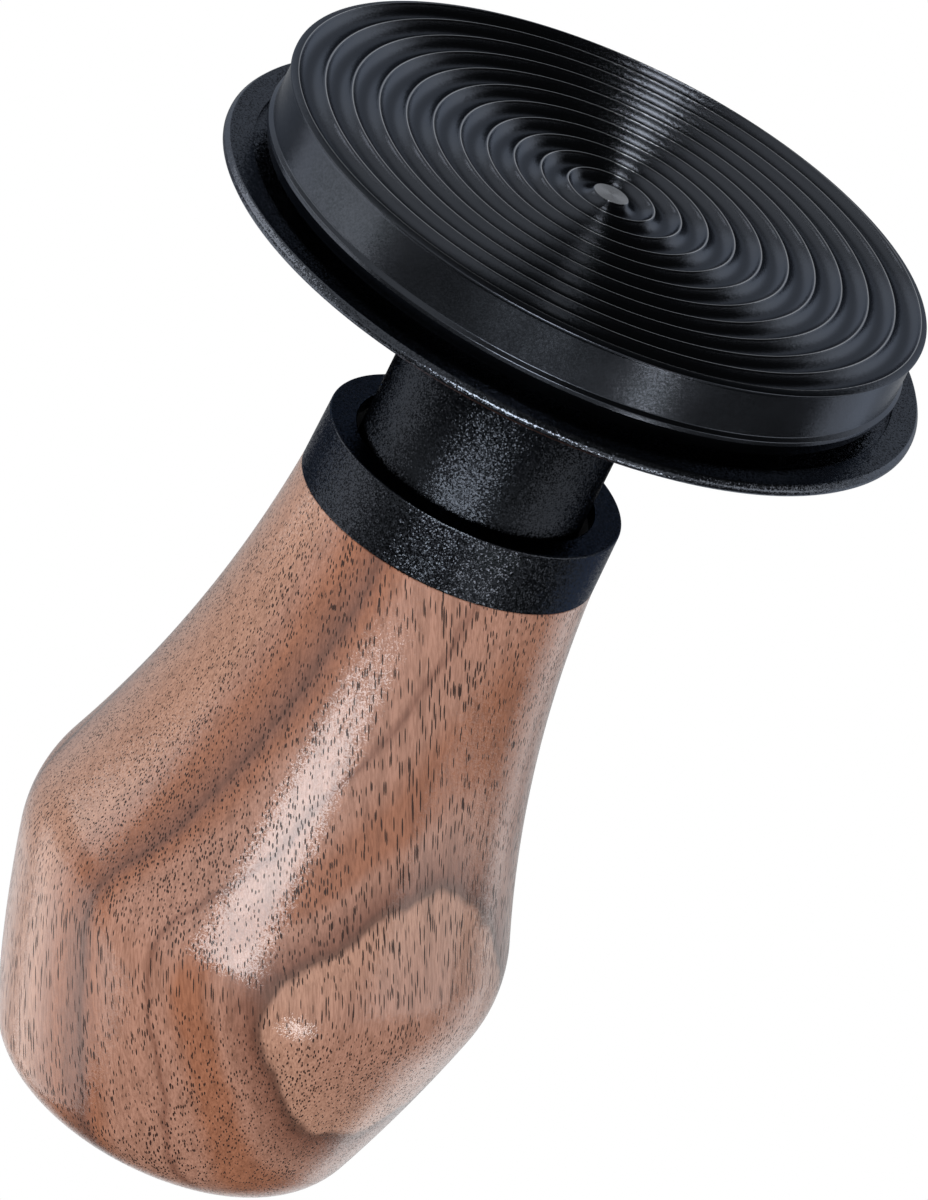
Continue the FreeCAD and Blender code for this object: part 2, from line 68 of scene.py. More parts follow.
LENS_MM = 465.87                    # a long lens, about 1.3 m away
SENSOR_MM = 36.0                    # along the picture's longer side
CLIP_NEAR, CLIP_FAR = 0.05, 20.0
AXIS_LEAN = math.radians(26.57)     # of the handle's axis, to one side of upright
AXIS_TILT = math.radians(24.71)     # of the handle's end, away from the camera
DISTANCE = 1.300                    # in metres, to the tamping face's centre
FACE_RIGHT = 0.01235                # of that centre, from the line of sight
FACE_DOWN = -0.03399


def make_camera():
    """The camera of the product picture: below the face, handle hanging down."""
    lean, tilt = AXIS_LEAN, AXIS_TILT
    # the frame's axes as the camera sees them: (right, down, forward)
    handle = Vector((-math.sin(lean) * math.cos(tilt),
                     math.cos(lean) * math.cos(tilt), math.sin(tilt)))
    across = Vector((math.cos(lean), math.sin(lean), 0))
    away = handle.cross(across)
    axes = (-across, -away, handle)
    face = Vector((FACE_RIGHT, FACE_DOWN, DISTANCE))
    rotation = Matrix([[axis.x, -axis.y, -axis.z] for axis in axes])
    location = Vector([-face.dot(axis) for axis in axes])
    data = bpy.data.cameras.new("camera")
    data.sensor_width = SENSOR_MM
    data.lens = LENS_MM
    data.clip_start, data.clip_end = CLIP_NEAR, CLIP_FAR
    camera = bpy.data.objects.new("camera", data)
    camera.matrix_world = Matrix.Translation(location) @ rotation.to_4x4()
    bpy.context.scene.collection.objects.link(camera)
    bpy.context.scene.camera = camera


# ------------------------------------------------------------------ meshes

TURN_STEPS = 384                    # round a turned piece
FILLET_STEPS = 4                    # along a rounded corner
HOLD_MM = 0.06                      # rings that hold a face flat by a fillet
EDGE_SHARE = 0.45                   # of an edge that the fillet at one end may use
NEARLY_STRAIGHT = 1.55              # half the angle of a corner that needs no fillet
TINY_MM = 1e-4
SHARP_ANGLE = math.radians(32)      # edges sharper than this aren't shaded smooth


def rounded(corners):
    """Round the corners of a closed outline of (radius, height[, fillet]) points."""
    points = []
    count = len(corners)
    for here, corner in enumerate(corners):
        spot = Vector(corner[:2])
        fillet = corner[2] if len(corner) > 2 else 0.0
        before = Vector(corners[here - 1][:2]) - spot
        after = Vector(corners[(here + 1) % count][:2]) - spot
        room = EDGE_SHARE * min(before.length, after.length)
        half = before.angle(after) / 2
        filled = fillet and half < NEARLY_STRAIGHT
        reach = min(room, fillet / math.tan(half)) if filled else 0.0
        if reach <= TINY_MM:
            points.append(tuple(spot))
            continue
        start = spot + before.normalized() * reach
        end = spot + after.normalized() * reach
        hold = min(HOLD_MM, room - reach)
        if hold > TINY_MM:
            points.append(tuple(start + before.normalized() * hold))
        for step in range(FILLET_STEPS + 1):
            t = step / FILLET_STEPS
            points.append(tuple(start * (1 - t) ** 2 + spot * 2 * t * (1 - t) + end * t * t))
        if hold > TINY_MM:
            points.append(tuple(end + after.normalized() * hold))
    return points


def bow(start, end, radius, turn, steps):
    """Points along the short arc from start towards end, end left out."""
    start, end = Vector(start), Vector(end)
    chord = end - start
    left = Vector((-chord.y, chord.x)).normalized()
    rise = math.sqrt(radius ** 2 - (chord.length / 2) ** 2)
    centre = (start + end) / 2 + left * turn * rise
    first = math.atan2(start.y - centre.y, start.x - centre.x)
    sweep = 2 * math.asin(chord.length / 2 / radius) * turn
    angles = (first + sweep * step / steps for step in range(steps))
    return [(centre.x + radius * math.cos(a), centre.y + radius * math.sin(a)) for a in angles]


def around(radius, angle, height):
    """The point, in metres, at a radius and a height in mm."""
    return (radius * MM * math.cos(angle), radius * MM * math.sin(angle), height * MM)


def lathe(name, outline, steps=TURN_STEPS):
    """A closed solid turned from a closed outline of (radius, height) in mm."""
    rings, vertices = [], []
    for radius, height in outline:
        if radius < TINY_MM:
            rings.append([len(vertices)] * steps)
            vertices.append((0.0, 0.0, height * MM))
            continue
        rings.append(list(range(len(vertices), len(vertices) + steps)))
        for step in range(steps):
            vertices.append(around(radius, 2 * math.pi * step / steps, height))
    faces = []
    for lower, upper in zip(rings, rings[1:] + rings[:1]):
        if lower[0] == lower[-1] and upper[0] == upper[-1]:
            continue
        for step in range(steps):
            following = (step + 1) % steps
            loop = (lower[step], lower[following], upper[following], upper[step])
            faces.append(tuple(dict.fromkeys(loop)))
    return new_piece(name, vertices, faces)


def new_piece(name, vertices, faces):
    """A smooth-shaded mesh object in the scene."""
    mesh = bpy.data.meshes.new(name)
    mesh.from_pydata(vertices, [], faces)
    mesh.validate()
    mesh.shade_smooth()
    piece = bpy.data.objects.new(name, mesh)
    bpy.context.scene.collection.objects.link(piece)
    return piece


def finish_piece(piece, body, material, slot, *nodes):
    """Material, body and the CAD nodes that a piece stands for; the record slot is not used.
    """
    piece.data.materials.append(material)
    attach(piece, body)
    if nodes:
        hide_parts(*nodes)
    return piece


# --------------------------------------------------------------- materials

GRAINS_PER_MM = 10.0                # that a blasted or varnished surface is made of


class Nodes:
    """A node tree that is written a node at a time."""

    def __init__(self, owner):
        owner.use_nodes = True
        self.tree = owner.node_tree

    def node(self, kind, settings=None, **inputs):
        made = self.tree.nodes.new("ShaderNode" + kind)
        for name, value in (settings or {}).items():
            setattr(made, name, value)
        for name, value in inputs.items():
            self.feed(made, name.replace("_", " "), value)
        return made

    def feed(self, node, name, value):
        """Set an input, by its name or number, to a value or another's output."""
        socket = node.inputs[int(name)] if name.isdigit() else node.inputs[name]
        if isinstance(value, bpy.types.NodeSocket):
            self.tree.links.new(value, socket)
        else:
            socket.default_value = value

    def math(self, operation, *values):
        made = self.node("Math", {"operation": operation})
        for index, value in enumerate(values):
            self.feed(made, str(index), value)
        return made.outputs[0]

    def vector(self, operation, place, by):
        made = self.node("VectorMath", {"operation": operation})
        self.feed(made, "0", place)
        self.feed(made, "Scale" if operation == "SCALE" else "1", by)
        return made.outputs["Value" if operation == "DOT_PRODUCT" else "Vector"]

    def mix(self, share, low, high, blend="MIX"):
        """A colour between two: input 0 is the share, 6 and 7 are the colours."""
        made = self.node("Mix", {"data_type": "RGBA", "blend_type": blend})
        for index, value in ((0, share), (6, low), (7, high)):
            self.feed(made, str(index), value)
        return made.outputs[2]

    def ramp(self, value, start, end):
        """0 up to start, 1 from end on, smooth between."""
        made = self.node("MapRange", {"interpolation_type": "SMOOTHSTEP"}, Value=value,
                         From_Min=start, From_Max=end)
        return made.outputs[0]

    def noise(self, place, scale, detail=2.0, roughness=0.5):
        return self.node("TexNoise", Vector=place, Scale=scale, Detail=detail,
                         Roughness=roughness).outputs[0]


class Finish(Nodes):
    """A surface finish on the Principled shader, laid out in mm."""

    def __init__(self, name):
        self.material = bpy.data.materials.new(name)
        super().__init__(self.material)
        self.shader = self.tree.nodes["Principled BSDF"]
        place = self.node("TexCoord").outputs["Object"]
        self.place = self.vector("SCALE", place, 1 / MM)
        split = self.node("SeparateXYZ", Vector=self.place)
        self.x, self.y, self.z = split.outputs

    def radius(self):
        square = self.math("MULTIPLY", self.x, self.x)
        return self.math("SQRT", self.math("MULTIPLY_ADD", self.y, self.y, square))

    def drawn_out(self, place, along):
        """A place that counts Z for only this share, which draws noise out along it."""
        return self.vector("MULTIPLY", place, (1, 1, along))

    def set(self, **values):
        for name, value in values.items():
            self.feed(self.shader, name.replace("_", " "), value)

    def uneven(self, cloud, middle, spread):
        """A value that follows a cloud from 0 to 1 to both sides of its middle."""
        return self.math("MULTIPLY_ADD", cloud, spread, middle - spread / 2)

    def facets(self, tilt):
        """The surface's normal, tilted at random in each small grain."""
        grains = self.node("TexVoronoi", Vector=self.place, Scale=GRAINS_PER_MM)
        lean = self.vector("SUBTRACT", grains.outputs["Color"], (0.5, 0.5, 0.5))
        lean = self.vector("SCALE", lean, tilt)
        normal = self.vector("ADD", self.node("NewGeometry").outputs["Normal"], lean)
        return self.node("VectorMath", {"operation": "NORMALIZE"}, **{"0": normal}).outputs[0]

    def bump(self, height, distance, normal=None):
        made = self.node("Bump", Height=height, Distance=distance * MM)
        if normal is not None:
            self.feed(made, "Normal", normal)
        return made.outputs[0]


# anodising mirrors a few hundredths of the light, and little more at a slant
GLOSS = (0.032, 0.035, 0.041)
SLANT_GLOSS = (0.50, 0.52, 0.56, 1)
SATIN_SLANT = (0.38, 0.39, 0.42, 1)
DULL_SLANT = (0.18, 0.185, 0.20, 1)
BARE = (0.38, 0.39, 0.41, 1)        # metal that shows on the lands between ripples
LAND_TOP = (0.004, 0.03)            # in mm: bare below the first, black from the second


def gloss_times(share):
    return tuple(channel * share for channel in GLOSS) + (1,)


def blasted_black(name, roughness, tilt, gloss, slant=SLANT_GLOSS):
    """Black anodising over bead blasting: small grains that sparkle."""
    finish = Finish(name)
    cloud = finish.noise(finish.place, 0.25)
    finish.set(Base_Color=gloss_times(gloss), Metallic=1.0, Specular_Tint=slant)
    finish.set(Roughness=finish.uneven(cloud, roughness, 0.08))
    finish.set(Normal=finish.facets(tilt))
    return finish.material


def rippled_black():
    """The tamping face: turning marks draw the gloss outwards, lands are paler."""
    finish = Finish("rippled_black")
    ring = finish.node("CombineXYZ", X=finish.radius()).outputs[0]
    marks = finish.noise(ring, 7.0, 2.0, 0.6)
    land = finish.math("SUBTRACT", 1.0, finish.ramp(finish.z, *LAND_TOP))
    finish.set(Base_Color=finish.mix(land, gloss_times(2.2), BARE))
    finish.set(Metallic=1.0, Roughness=0.22, Specular_Tint=SLANT_GLOSS)
    finish.set(Anisotropic=0.88, Anisotropic_Rotation=0.25)
    finish.set(Tangent=finish.node("Tangent", {"direction_type": "RADIAL", "axis": "Z"})
               .outputs[0])
    finish.set(Normal=finish.bump(marks, 0.003, finish.facets(0.05)))
    return finish.material


# the walnut's growth rings: where they lie, and the wood's colour between them
RING_TURN = math.radians(52)        # about Z, of the way in through the rings
RING_TILT = -0.03
RING_BEND = 0.0006                  # times the cube of the mm along a ring
RING_WAVE = 2.4                     # in mm
RING_SHIFT = 0.6                    # in mm
RING_REACH = 24.0                   # in mm, from the middle of the rings
GRAIN_LEAN = math.radians(24)       # of the fibres and pores, from the handle's axis
DARK_RING = (0.110, 0.045, 0.028, 1)
DARK_BROWN = (0.165, 0.070, 0.045, 1)
BROWN = (0.235, 0.098, 0.062, 1)
ORANGE = (0.350, 0.138, 0.074, 1)
TAN = (0.425, 0.212, 0.145, 1)
PALE_TAN = (0.500, 0.265, 0.180, 1)
PORE = (0.036, 0.015, 0.010, 1)
STREAK_TINT = (0.55, 0.50, 0.46, 1)
FIBRE_TINT = (0.60, 0.54, 0.50, 1)
RINGS = (
    (-24.0, TAN), (-20.0, ORANGE), (-19.0, DARK_RING), (-18.0, TAN), (-14.5, ORANGE),
    (-13.8, DARK_RING), (-13.0, TAN), (-9.0, PALE_TAN), (0.5, PALE_TAN), (2.3, TAN),
    (4.5, ORANGE), (6.7, BROWN), (7.1, DARK_BROWN), (7.35, BROWN), (8.2, ORANGE),
    (9.6, TAN), (11.2, TAN), (12.4, TAN), (12.7, BROWN), (13.0, TAN),
    (13.9, TAN), (14.8, ORANGE), (16.0, ORANGE), (16.6, TAN), (17.8, BROWN),
    (18.15, DARK_RING), (18.4, PALE_TAN), (20.5, TAN), (24.0, TAN),
)


def ring_depth(finish):
    """How deep a point lies in the growth rings, in mm."""
    sine, cosine = math.sin(RING_TURN), math.cos(RING_TURN)
    across = finish.vector("DOT_PRODUCT", finish.place, (-sine, -cosine, RING_TILT))
    along = finish.vector("DOT_PRODUCT", finish.place, (-cosine, sine, 0))
    cube = finish.math("POWER", finish.math("ABSOLUTE", along), 3.0)
    wave = finish.noise(finish.drawn_out(finish.place, 0.5), 0.12, 4.0)
    depth = finish.math("MULTIPLY_ADD", cube, RING_BEND, across)
    return finish.math("ADD", depth, finish.math("MULTIPLY_ADD", wave, RING_WAVE, RING_SHIFT))


def ring_colour(finish):
    """The wood's colour at each depth in its rings."""
    share = finish.math("MULTIPLY_ADD", ring_depth(finish), 0.5 / RING_REACH, 0.5)
    bands = finish.node("ValToRGB", Fac=share)
    ramp = bands.color_ramp
    while len(ramp.elements) < len(RINGS):
        ramp.elements.new(0.5)
    for element, (depth, colour) in zip(ramp.elements, RINGS):
        element.position = 0.5 + 0.5 * depth / RING_REACH
        element.color = colour
    return bands.outputs[0]


def open_pores(finish, grain):
    """1 in the wood's open pores, which are larger in some places than others."""
    cells = finish.node("TexVoronoi", {"feature": "F1"}, Scale=4.6,
                        Vector=finish.drawn_out(grain, 0.068))
    size = finish.noise(finish.drawn_out(finish.place, 0.3), 0.35)
    size = finish.math("MULTIPLY_ADD", size, 0.34, 0.10)
    return finish.ramp(finish.math("SUBTRACT", cells.outputs["Distance"], size), 0.05, -0.02)


def walnut():
    """Turned walnut under satin varnish: figure, streaks and open pores."""
    finish = Finish("walnut")
    grain = finish.node("VectorRotate", {"rotation_type": "Y_AXIS"}, Vector=finish.place,
                        Angle=GRAIN_LEAN).outputs[0]
    streaks = finish.noise(finish.drawn_out(grain, 0.06), 1.3, 4.0)
    streak = finish.math("MULTIPLY", finish.ramp(streaks, 0.40, 0.75), 0.5)
    colour = finish.mix(streak, ring_colour(finish), STREAK_TINT, "MULTIPLY")
    fibres = finish.noise(finish.drawn_out(grain, 0.12), 6.0, 4.0)
    fibre = finish.math("MULTIPLY", finish.ramp(fibres, 0.38, 0.64), 0.60)
    colour = finish.mix(fibre, colour, FIBRE_TINT, "MULTIPLY")
    pore = open_pores(finish, grain)
    colour = finish.mix(pore, colour, PORE)
    # partly the wood's own tone, partly painted light: its colour is made a little paler at
    # its foot, and from its widest part to its end, where the tamper is lit more brightly
    tone_and_painted_light = finish.math("ADD", finish.ramp(finish.z, 62, 74), finish.ramp(finish.z, 44, 36))
    colour = finish.vector("SCALE", colour, finish.math("MULTIPLY_ADD", tone_and_painted_light, 0.08, 1.02))
    finish.set(Base_Color=colour, Roughness=0.55, Specular_IOR_Level=0.25,
               Coat_Roughness=0.13)
    finish.set(Coat_Weight=finish.math("MULTIPLY_ADD", pore, -0.7, 0.85))
    rough = finish.facets(0.10)
    finish.set(Normal=finish.bump(pore, -0.02, rough), Coat_Normal=rough)
    return finish.material


def plain(name, colour, metallic, roughness, grain=4.0, relief=0.004):
    """Machined metal, moulded plastic or rubber with a fine uneven surface."""
    finish = Finish(name)
    cloud = finish.noise(finish.place, 0.6, 3.0)
    dark = tuple(channel * 0.8 for channel in colour)
    finish.set(Base_Color=finish.mix(cloud, dark + (1,), colour + (1,)), Metallic=metallic)
    finish.set(Roughness=finish.uneven(cloud, roughness, 0.12))
    finish.set(Normal=finish.bump(finish.noise(finish.place, grain), relief))
    return finish.material


# ------------------------------------------------------------------ pieces

RIPPLES = 11
RIPPLE_PITCH = 2.462
RIPPLE_LAND = 0.08                  # the flat between two ripples
RIPPLE_DEPTH = 0.72
RIPPLE_STEPS = 14                   # across a ripple
LAND_EDGE = 0.01                    # a land's shading turns within this
BUTTON_RADIUS = 1.55                # of the flat in the middle
WALL_RELIEF = 0.295                 # of the disc's wall, inside its rim
BUMPER_GROOVE = (19.75, 22.25)
GROOVE_DEPTH = 0.45
THREAD_RADIUS = 3.0
THREAD_FLOOR = 2.2                  # above the face
FACE_EDGE = 28.5                    # outside this and above the face the disc is wall
FACE_HEIGHT = 0.2
BUSH_BORE = 5.03                    # in the plate and the neck
HOUSING_BORE = 11.53                # in the collar and the wood
PLATE_STEPS = 512
RECESS_RADIUS = 29.4
RECESS_DEPTH = 0.6
SCREW_CIRCLE = 7.6
SCREW_ANGLES = tuple(math.radians(degrees) for degrees in (90, 210, 330))
SCREW_HEAD = 2.30
SCREW_SHANK = 1.28
SINK_DEPTH = 1.2
NECK_BORE = 8.2
NECK_FOOT = 4.3                     # the neck's solid part, below the spring
COLLAR_BORE = 10.98
COLLAR_STEP = 1.4
INSERT_RADIUS = 3.23
BUMPER_SIDES = (19.78, 22.22)
COIL_STEPS = 48                     # round one turn of a spring
WIRE_STEPS = 12                     # round a spring's wire
SPRINGS = (
    # node, joint and its travel, seats, mean radius, wire radius, turns, fixed end
    ("return_spring", "plate_lift", 12.0, (15.0, 48.0), 6.2, 0.45, 11.0, "top"),
    ("main_spring", "handle_press", 5.0, (61.5, 83.2), 7.6, 1.1, 6.0, "foot"),
)


def ripple_base():
    """The rippled disc: lip, relieved wall, ridge, bumper groove, threaded hole."""
    rim, face, back = box_mm("ripple_base")
    chord = RIPPLE_PITCH - RIPPLE_LAND
    bend = chord ** 2 / (8 * RIPPLE_DEPTH) + RIPPLE_DEPTH / 2
    outline = [(0, face)]
    for ripple in range(RIPPLES):
        inner = BUTTON_RADIUS + RIPPLE_PITCH * ripple
        outer = inner + chord
        outline.append((inner - LAND_EDGE, face))
        outline += bow((inner, face), (outer, face), bend, -1, RIPPLE_STEPS)
        outline += [(outer, face), (outer + LAND_EDGE, face)]
    last = BUTTON_RADIUS + RIPPLE_PITCH * RIPPLES
    wall = rim - WALL_RELIEF
    groove_in, groove_out = BUMPER_GROOVE
    # the first corner only leads in, as the last ripple's land is there already
    outline += rounded([
        (last, face),
        (rim, face + 0.22, 0.08),
        (rim, face + 0.45, 0.05),
        (wall, face + 0.62, 0.06),
        (wall, face + 4.60, 0.10),
        (rim, face + 4.92, 0.10),
        (rim, face + 5.3, 0.10),
        (rim - 0.575, back, 0.12),
        (groove_out, back, 0.08),
        (groove_out, back - GROOVE_DEPTH),
        (groove_in, back - GROOVE_DEPTH),
        (groove_in, back, 0.08),
        (THREAD_RADIUS, back, 0.15),
        (THREAD_RADIUS, face + THREAD_FLOOR),
        (0, face + THREAD_FLOOR),
    ])[1:]
    return lathe("rippled_base", outline)


def darken_wall(base, material):
    """Give the disc's wall and rim, outside its face, the even black; the face and most of the
    back keep the face's own.
    """
    base.data.materials.append(material)
    for polygon in base.data.polygons:
        place = polygon.center
        if place.z > FACE_HEIGHT * MM and math.hypot(*place.xy) > FACE_EDGE * MM:
            polygon.material_index = 1


def cut(piece, cutter):
    """Cut one solid out of a piece for good."""
    modifier = piece.modifiers.new("cut", "BOOLEAN")
    modifier.operation, modifier.solver, modifier.object = "DIFFERENCE", "EXACT", cutter
    bpy.context.view_layer.update()
    seen = piece.evaluated_get(bpy.context.evaluated_depsgraph_get())
    result = bpy.data.meshes.new_from_object(seen)
    piece.modifiers.clear()
    piece.data = result
    bpy.data.objects.remove(cutter)


def levelling_plate():
    """The thin disc with its recess below, hub above and three countersinks."""
    edge, under, top = box_mm("levelling_plate")
    floor = under + RECESS_DEPTH
    rim_top = under + 1.12
    plate = lathe("level_plate", rounded([
        (BUSH_BORE, floor),
        (RECESS_RADIUS, floor, 0.08),
        (RECESS_RADIUS, under, 0.05),
        (edge - 0.3, under, 0.20),
        (edge, under + 0.45, 0.40),
        (edge, rim_top - 0.3, 0.20),
        (edge - 0.3, rim_top, 0.15),
        (29.1, rim_top, 0.3),
        (27.6, top, 0.3),
        (BUSH_BORE, top),
    ]), PLATE_STEPS)
    low, high = floor - 0.02, top + 0.5     # just clear of the plate on both sides
    for angle in SCREW_ANGLES:
        sink = lathe("sink", [(0, low), (SCREW_HEAD, low), (SCREW_SHANK, floor + SINK_DEPTH),
                              (SCREW_SHANK, high), (0, high)], 48)
        place = Vector((math.cos(angle), math.sin(angle), 0)) * SCREW_CIRCLE * MM
        sink.data.transform(Matrix.Translation(place))
        cut(plate, sink)
    plate.data.set_sharp_from_angle(angle=SHARP_ANGLE)
    return plate


def neck():
    """The neck sleeve: solid foot, thin wall around the return spring."""
    radius, low, high = box_mm("neck_sleeve")
    floor = low + NECK_FOOT
    return lathe("neck", rounded([
        (BUSH_BORE, low),
        (radius, low),
        (radius, high, 0.25),
        (NECK_BORE, high, 0.15),
        (NECK_BORE, floor),
        (BUSH_BORE, floor, 0.15),
    ]))


def collar():
    """The ring under the wood, with its clearance hole and its step for the housing."""
    radius, low, high = box_mm("collar")
    step = low + COLLAR_STEP
    return lathe("collar_ring", rounded([
        (COLLAR_BORE, low, 0.2),
        (radius - 0.1, low, 0.2),
        (radius, high, 0.08),
        (HOUSING_BORE, high),
        (HOUSING_BORE, step),
        (COLLAR_BORE, step),
    ]))


def wood():
    """The turned handle: hollow flank, full shoulder, long crown, flat end."""
    _, low, high = box_mm("wood_handle")
    foot, shoulder, crown = (13.58, low + 0.06), (21.04, low + 34.35), (21.54, low + 41.65)
    edge, end = (16.84, low + 57.65), (10.4, high)
    insert_end, bore_end = high - 1.85, high - 6.75
    outline = [(HOUSING_BORE, low), (13.50, low)]
    outline += bow(foot, shoulder, 116.0, -1, 60)
    outline += bow(shoulder, crown, 12.5, 1, 24)
    outline += bow(crown, edge, 147.0, 1, 30)
    outline += bow(edge, end, 6.85, 1, 16)
    outline += [end, (9.0, high), (0, high), (0, insert_end), (INSERT_RADIUS, insert_end),
                (INSERT_RADIUS, bore_end), (HOUSING_BORE, bore_end)]
    grip = lathe("wood_grip", outline)
    grip.data.set_sharp_from_angle(angle=SHARP_ANGLE)
    return grip


def bumper():
    """The silicone ring that the plate rests on, moulded with a round top."""
    _, low, high = box_mm("bumper_ring")
    inner, outer = BUMPER_SIDES
    return lathe("bumper", rounded([
        (inner, low),
        (outer, low),
        (outer, high - 0.6, 0.3),
        (outer - 0.6, high, 0.45),
        (inner + 0.6, high, 0.45),
        (inner, high - 0.6, 0.3),
    ]), 256)


def coil(name, low, high, mean, wire, turns):
    """A compression spring with a closed, ground turn at each end, in mm."""
    closed = 2 * wire * 1.02
    ground = 0.3 * wire
    rise = high - low - 2 * wire - 2 * closed
    count = round(turns * COIL_STEPS)
    vertices, faces = [], []
    for step in range(count + 1):
        turn = turns * step / count
        free = min(max((turn - 1) / (turns - 2), 0.0), 1.0)
        height = low + wire + closed * (min(turn, 1) + max(turn - turns + 1, 0)) + rise * free
        for spot in range(WIRE_STEPS):
            side = 2 * math.pi * spot / WIRE_STEPS
            flat = min(max(height + wire * math.sin(side), low + ground), high - ground)
            vertices.append(around(mean + wire * math.cos(side), 2 * math.pi * turn, flat))
    for step in range(count):
        first, second = step * WIRE_STEPS, (step + 1) * WIRE_STEPS
        for spot in range(WIRE_STEPS):
            following = (spot + 1) % WIRE_STEPS
            faces.append((first + spot, second + spot, second + following, first + following))
    faces.append(tuple(range(WIRE_STEPS)))
    faces.append(tuple(count * WIRE_STEPS + spot for spot in reversed(range(WIRE_STEPS))))
    return new_piece(name, vertices, faces)


def make_springs():
    """The two springs, each coiled between its two seats."""
    finish = plain("bright_spring", (0.42, 0.42, 0.44), 1.0, 0.3, 9.0, 0.002)
    for node, joint, travel, (low, high), mean, wire, turns, fixed in SPRINGS:
        spring = finish_piece(coil(node + "_wire", low, high, mean, wire, turns), "base",
                              finish, "spring_steel", node)
        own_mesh(spring)


def make_pieces():
    neck_black = blasted_black("blasted_black", roughness=0.26, tilt=0.38, gloss=0.62,
                               slant=DULL_SLANT)
    collar_black = blasted_black("collar_black", roughness=0.22, tilt=0.34, gloss=1.05,
                                 slant=SATIN_SLANT)
    plate_black = blasted_black("plate_black", roughness=0.20, tilt=0.26, gloss=2.6)
    wall_black = blasted_black("wall_black", roughness=0.24, tilt=0.05, gloss=2.0)
    face_black = rippled_black()
    base = finish_piece(ripple_base(), "base", face_black, "anodised_black", "ripple_base")
    darken_wall(base, wall_black)
    finish_piece(levelling_plate(), "levelling_plate", plate_black, "anodised_black",
                 "levelling_plate")
    finish_piece(neck(), "levelling_plate", neck_black, "anodised_black", "neck_sleeve")
    finish_piece(collar(), "handle", collar_black, "anodised_black", "collar")
    finish_piece(wood(), "handle", walnut(), "walnut", "wood_handle")
    silicone = plain("moulded_silicone", (0.035, 0.035, 0.04), 0.0, 0.55, 5.0, 0.006)
    finish_piece(bumper(), "base", silicone, "silicone", "bumper_ring")
    make_springs()


def paint_cad_nodes():
    """Give every CAD node that still shows the finish of its record slot."""
    finishes = {
        "steel": plain("steel", (0.55, 0.55, 0.56), 1.0, 0.28),
        "black_steel": plain("black_steel", (0.03, 0.03, 0.032), 0.6, 0.4),
        "spring_steel": plain("spring_steel", (0.42, 0.42, 0.44), 1.0, 0.3),
        "clear_aluminium": plain("clear_aluminium", (0.72, 0.73, 0.75), 1.0, 0.35),
        "bronze": plain("bronze", (0.62, 0.42, 0.22), 1.0, 0.4),
        "acetal": plain("acetal", (0.05, 0.05, 0.055), 0.0, 0.45),
        "silicone": plain("silicone", (0.04, 0.04, 0.045), 0.0, 0.6),
        "urethane": plain("urethane", (0.45, 0.32, 0.12), 0.0, 0.4),
        "felt": plain("felt", (0.06, 0.06, 0.06), 0.0, 0.9),
    }
    for part in frame["record"]["subparts"]:
        node = frame["nodes"][part["node"]]
        if part["material_slot"] in finishes:
            node.data.materials.clear()
            node.data.materials.append(finishes[part["material_slot"]])


# ------------------------------------------------------------------- stage

PALE_GREY = (0.86, 0.86, 0.85, 1)
COOL_WHITE = (0.93, 0.97, 1.0)
SKY_WHITE = (0.97, 0.985, 1.0, 1)
WHITE = (1, 1, 1, 1)
FLOOR_HEIGHT = -0.0006
FLOOR_HALF = 1.5
TAMPER_MIDDLE = (0, 0, 0.045)
FACE_CENTRE = (0, 0, 0)


def add_light(name, azimuth, elevation, distance, width, height, glow, aim=TAMPER_MIDDLE):
    """A softbox of even glow that faces the tamper; azimuth 0 is the camera's side."""
    a, e = math.radians(azimuth), math.radians(elevation)
    away = Vector((math.sin(a) * math.cos(e), -math.cos(a) * math.cos(e), math.sin(e)))
    data = bpy.data.lights.new(name, "AREA")
    data.shape = "RECTANGLE"
    data.size, data.size_y = width, height
    data.energy = glow * math.pi * width * height
    light = bpy.data.objects.new(name, data)
    light.location = Vector(aim) + away * distance
    light.rotation_mode = "QUATERNION"
    light.rotation_quaternion = away.to_track_quat("Z", "Y")
    light.visible_camera = False
    bpy.context.scene.collection.objects.link(light)
    return light


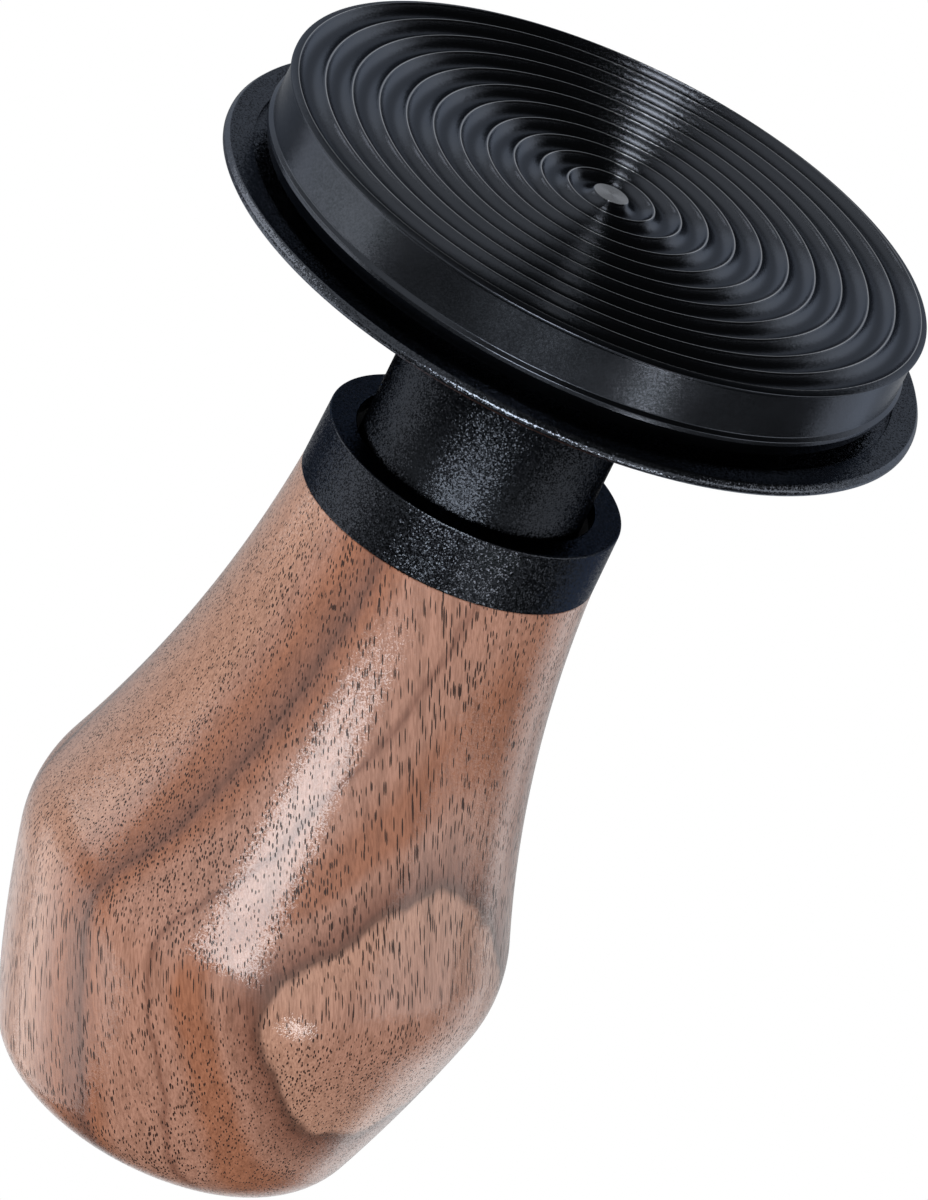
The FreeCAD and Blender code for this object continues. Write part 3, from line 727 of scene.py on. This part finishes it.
def make_world():
    """White to look at; what lights the tamper is darker and differs by direction."""
    world = bpy.data.worlds.new("studio")
    nodes = Nodes(world)
    background = nodes.tree.nodes["Background"]
    split = nodes.node("SeparateXYZ", Vector=nodes.node("TexCoord").outputs["Generated"])
    x, y, z = split.outputs
    # behind the tamper: brighter high up, low down at the sides, and towards -X
    sides = nodes.ramp(nodes.math("ABSOLUTE", x), 0.15, 0.40)
    under = nodes.math("SUBTRACT", 1.0, nodes.ramp(z, 0.0, 0.35))
    back = nodes.math("MULTIPLY", under, nodes.math("MULTIPLY_ADD", sides, 0.50, 0.05))
    back = nodes.math("MULTIPLY_ADD", nodes.ramp(z, 0.35, 0.60), 0.55, back)
    back = nodes.math("MULTIPLY_ADD", nodes.ramp(x, 0.0, -0.4), 0.18, back)
    back = nodes.math("MULTIPLY", nodes.ramp(y, 0.30, 0.75), nodes.math("ADD", back, 0.42))
    # in front of it: an even band about the level
    band = nodes.math("SUBTRACT", nodes.ramp(z, -0.42, -0.30), nodes.ramp(z, 0.28, 0.34))
    front = nodes.math("MULTIPLY", nodes.ramp(y, 0.05, -0.5), band)
    glow = nodes.math("MULTIPLY_ADD", front, 0.50, nodes.math("ADD", back, 0.03))
    # steeply below it, where the tamping face looks: a glow towards +X alone
    not_below = nodes.ramp(z, -0.62, -0.45)
    side = nodes.math("MULTIPLY_ADD", nodes.ramp(x, 0.05, 0.45), 0.5, 0.02)
    below = nodes.math("MULTIPLY", side, nodes.math("SUBTRACT", 1.0, not_below))
    glow = nodes.math("MULTIPLY_ADD", glow, not_below, below)
    eye = nodes.node("LightPath").outputs["Is Camera Ray"]
    nodes.feed(background, "Strength", nodes.math("MAXIMUM", glow, eye))
    nodes.feed(background, "Color", nodes.mix(eye, SKY_WHITE, WHITE))
    bpy.context.scene.world = world


def make_floor():
    """A pale floor under the tamper, seen only from above."""
    low, half = FLOOR_HEIGHT, FLOOR_HALF
    corners = [(-half, -half, low), (half, -half, low), (half, half, low), (-half, half, low)]
    floor = new_piece("floor", corners, [(0, 1, 2, 3)])
    finish = Finish("floor")
    finish.set(Base_Color=PALE_GREY, Roughness=0.7)
    clear = finish.node("BsdfTransparent").outputs[0]
    blend = finish.node("MixShader")
    finish.feed(blend, "0", finish.node("NewGeometry").outputs["Backfacing"])
    finish.feed(blend, "1", finish.shader.outputs[0])
    finish.feed(blend, "2", clear)
    output = finish.tree.nodes["Material Output"]
    finish.feed(output, "Surface", blend.outputs[0])
    floor.data.materials.append(finish.material)
    floor.visible_diffuse = False
    floor.visible_glossy = False
    floor.visible_shadow = False


def make_stage():
    make_world()
    make_floor()
    # azimuth, elevation, distance, width, height, glow
    key = add_light("key", 1, -8, 0.8, 0.36, 0.42, 10.5)
    key.data.color = COOL_WHITE
    add_light("spark", -42, 30, 0.8, 0.10, 0.16, 14.0)
    add_light("left", 95, -12, 0.9, 0.7, 0.5, 2.2)
    add_light("right", -88, -5, 0.9, 0.75, 0.5, 1.5)
    add_light("strip", 0, -72, 0.8, 0.09, 0.45, 0.42, FACE_CENTRE)
    # a small lamp close under the face draws the fan over its far half
    fan = add_light("fan", 0, -81.5, 0.079, 0.010, 0.02, 0.72, (0, 0.024, 0))
    fan.data.spread = math.radians(50)
    add_light("left_high", 92, 43, 0.9, 0.85, 0.78, 1.7)
    add_light("right_high", -125, 27, 0.9, 0.45, 0.50, 0.9)
    scene = bpy.context.scene
    scene.view_settings.view_transform = "Standard"
    scene.view_settings.look = "None"


make_camera()
make_pieces()
paint_cad_nodes()
make_stage()
